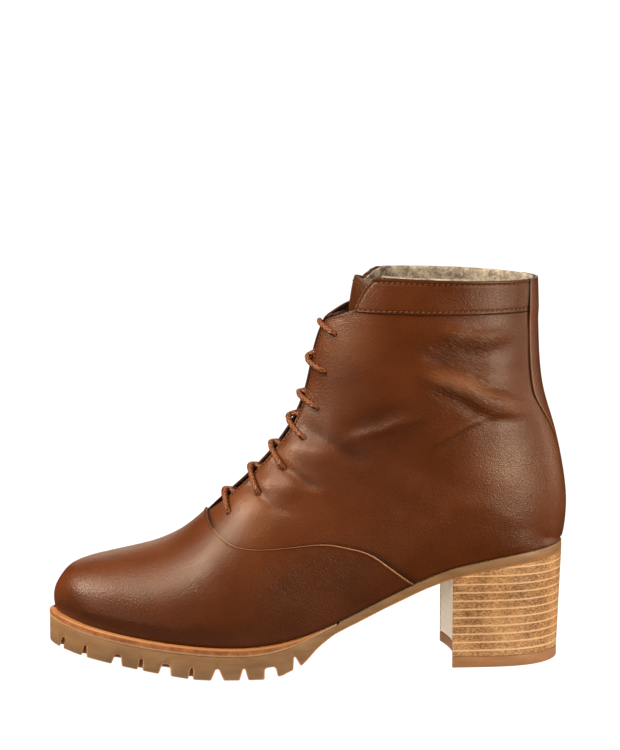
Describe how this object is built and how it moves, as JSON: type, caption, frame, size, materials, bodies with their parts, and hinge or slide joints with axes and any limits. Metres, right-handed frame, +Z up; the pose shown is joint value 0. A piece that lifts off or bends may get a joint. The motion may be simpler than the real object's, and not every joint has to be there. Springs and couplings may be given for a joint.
{
  "type": "ankle boot",
  "caption": "Left leather ankle boot with an open lace front, short tongue, banded collar, lugged forefoot sole and a stacked block heel.",
  "frame": {"origin": "middle of the boot's outline, on the floor it stands on", "axes": "+X from the toe to the heel, +Y to the inner side of the foot, +Z up"},
  "size_m": [0.2548, 0.0906, 0.1891],
  "materials": {
    "upper_leather": "soft sheen, waxed",
    "tongue_leather": "satin",
    "insole_leather": "matt",
    "welt_leather": "waxed",
    "sole_rubber": "gum, satin",
    "heel_stack": "stacked layers, waxed",
    "lift_rubber": "matt",
    "lace_cord": "waxed round cord"
  },
  "bodies": {
    "root": {"upper": "upper_leather", "tongue": "tongue_leather", "insole": "insole_leather", "welt": "welt_leather", "outsole": "sole_rubber", "heel": "heel_stack", "top_lift": "lift_rubber", "lace_1": "lace_cord", "lace_2": "lace_cord", "lace_3": "lace_cord", "lace_4": "lace_cord", "lace_5": "lace_cord", "lace_6": "lace_cord", "lace_7": "lace_cord"}
  },
  "joints": []
}
